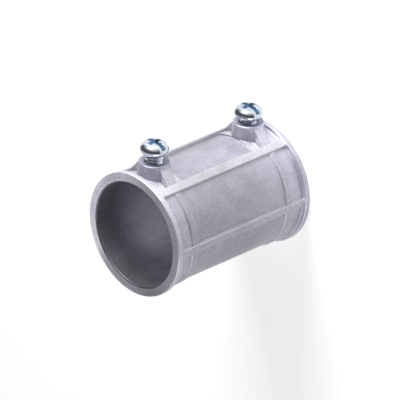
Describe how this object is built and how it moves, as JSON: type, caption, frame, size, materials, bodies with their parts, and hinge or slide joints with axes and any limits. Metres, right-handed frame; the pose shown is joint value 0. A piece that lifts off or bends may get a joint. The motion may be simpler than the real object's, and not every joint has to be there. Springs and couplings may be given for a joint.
{
  "type": "conduit coupling",
  "caption": "Tubular die-cast coupling with a socket at each end for thin-wall conduit, ribbed outside, with a set screw in a gusseted boss near each end.",
  "frame": {"origin": "on the bore axis at the lower end face, where the lower conduit enters", "axes": "+Z along the bore towards the upper mouth, +X from the bore axis towards both set screws, +Y across"},
  "size_m": [0.0569, 0.046, 0.064],
  "materials": {
    "cast_zinc": "as-cast zinc alloy, satin light grey with a faint mauve cast",
    "plated_steel": "bright zinc-plated steel with a blue cast"
  },
  "bodies": {
    "coupling": {"coupling_body": "cast_zinc"},
    "upper_screw": {"upper_set_screw": "plated_steel"},
    "lower_screw": {"lower_set_screw": "plated_steel"}
  },
  "joints": [
    {"name": "upper_screw_travel", "type": "slide", "parent": "coupling", "child": "upper_screw", "axis": [1, 0, 0], "range_m": [-0.0029, 0.0024]},
    {"name": "lower_screw_travel", "type": "slide", "parent": "coupling", "child": "lower_screw", "axis": [1, 0, 0], "range_m": [-0.0015, 0.0038]}
  ]
}
